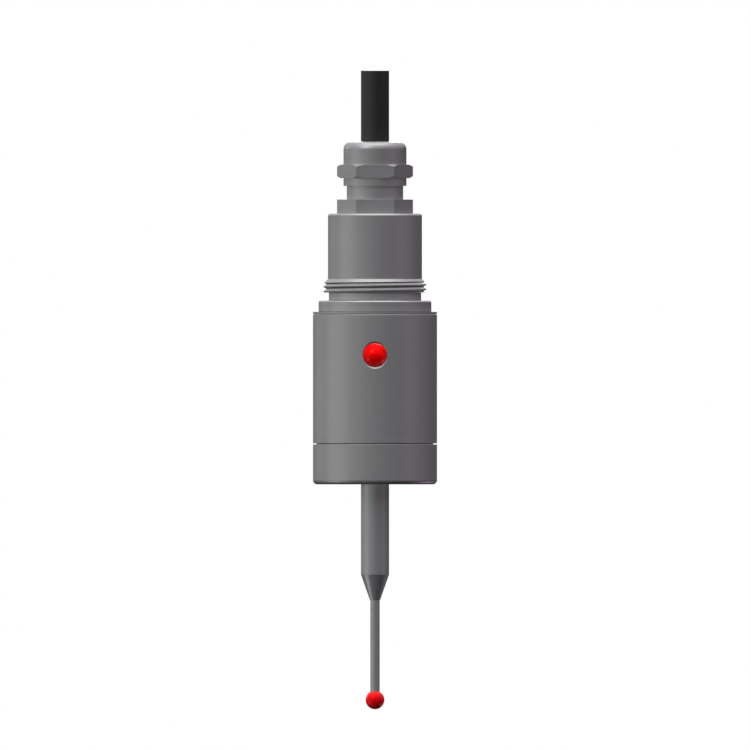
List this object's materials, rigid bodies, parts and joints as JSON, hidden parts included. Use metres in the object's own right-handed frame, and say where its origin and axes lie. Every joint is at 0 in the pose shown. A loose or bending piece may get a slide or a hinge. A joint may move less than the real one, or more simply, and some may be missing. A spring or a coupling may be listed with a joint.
{
  "type": "edge finder",
  "caption": "Wired touch edge finder with a threaded round shank, indicator lamp, cable gland and a sprung stylus that tilts and lifts when its red ball touches the work.",
  "frame": {"origin": "on the axis, in the plane of the shoulder that the threaded shank seats against", "axes": "+Z along the axis towards the shank and cable, -Y out of the indicator lamp"},
  "size_m": [0.0264, 0.0264, 0.1359],
  "materials": {
    "anodised_aluminium": "grey anodised over fine turning",
    "gland_nickel": "matt grey nickel on brass",
    "stylus_steel": "ground and satin, grey",
    "stem_steel": "ground rod",
    "ruby_ball": "polished red ball",
    "lamp_epoxy": "clear red epoxy",
    "cable_pvc": "satin black sheath",
    "black_rubber": "moulded rubber",
    "hard_steel": "hardened and ground",
    "plain_steel": "turned and zinc plated",
    "spring_steel": "oiled spring wire and strip",
    "adjuster_brass": "turned brass",
    "insulator": "machined insulating plastic",
    "gland_plastic": "moulded nylon",
    "board_laminate": "green glass-fibre board",
    "chip_plastic": "moulded black epoxy",
    "tinned_wire": "tinned copper wire",
    "core_red": "coloured wire insulation",
    "core_white": "coloured wire insulation",
    "core_green": "coloured wire insulation",
    "core_black": "coloured wire insulation",
    "wire_yellow": "coloured wire insulation"
  },
  "bodies": {
    "probe_body": {"front_cap": "anodised_aluminium", "main_housing": "anodised_aluminium", "rear_housing": "anodised_aluminium", "gland_body": "gland_nickel", "gland_nut": "gland_nickel", "indicator_lamp": "lamp_epoxy", "cable_jacket": "cable_pvc", "front_cap_seal": "black_rubber", "rear_seal": "black_rubber", "gland_seal": "black_rubber", "lamp_grommet": "black_rubber", "seat_ring": "hard_steel", "contact_balls": "hard_steel", "carrier_screws": "plain_steel", "board_screws": "plain_steel", "diaphragm_clamp_ring": "plain_steel", "spring_plate": "plain_steel", "preload_spring": "spring_steel", "plunger_spring": "spring_steel", "retaining_ring": "spring_steel", "preload_adjuster": "adjuster_brass", "guide_bush": "adjuster_brass", "ball_carrier": "insulator", "ball_keeper": "insulator", "gland_claw": "gland_plastic", "circuit_board": "board_laminate", "board_chip": "chip_plastic", "board_resistors": "chip_plastic", "board_transistor": "chip_plastic", "lamp_leads": "tinned_wire", "cable_core_1": "core_red", "cable_core_2": "core_white", "cable_core_3": "core_green", "cable_core_4": "core_black", "signal_wires": "wire_yellow"},
    "centre_plunger": {"centre_plunger": "hard_steel"},
    "pivot_ball": {"pivot_ball": "hard_steel"},
    "stylus": {"stylus_hub": "insulator", "contact_rod_1": "hard_steel", "contact_rod_2": "hard_steel", "contact_rod_3": "hard_steel", "stylus_holder": "stylus_steel", "stylus_stem": "stem_steel", "stylus_ball": "ruby_ball", "seal_diaphragm": "black_rubber"}
  },
  "joints": [
    {"name": "stylus_lift", "type": "slide", "parent": "probe_body", "child": "centre_plunger", "axis": [0, 0, 1], "range_m": [0, 0.003], "stiffness_N_per_m": 250, "springref_m": -0.004, "deforming": ["preload_spring", "plunger_spring", "seal_diaphragm"]},
    {"name": "stylus_tilt_x", "type": "hinge", "parent": "centre_plunger", "child": "pivot_ball", "pos_m": [0, 0, -0.0255], "axis": [1, 0, 0], "range_deg": [-8, 8], "stiffness_Nm_per_rad": 0.08},
    {"name": "stylus_tilt_y", "type": "hinge", "parent": "pivot_ball", "child": "stylus", "pos_m": [0, 0, -0.0255], "axis": [0, 1, 0], "range_deg": [-8, 8], "stiffness_Nm_per_rad": 0.08}
  ]
}
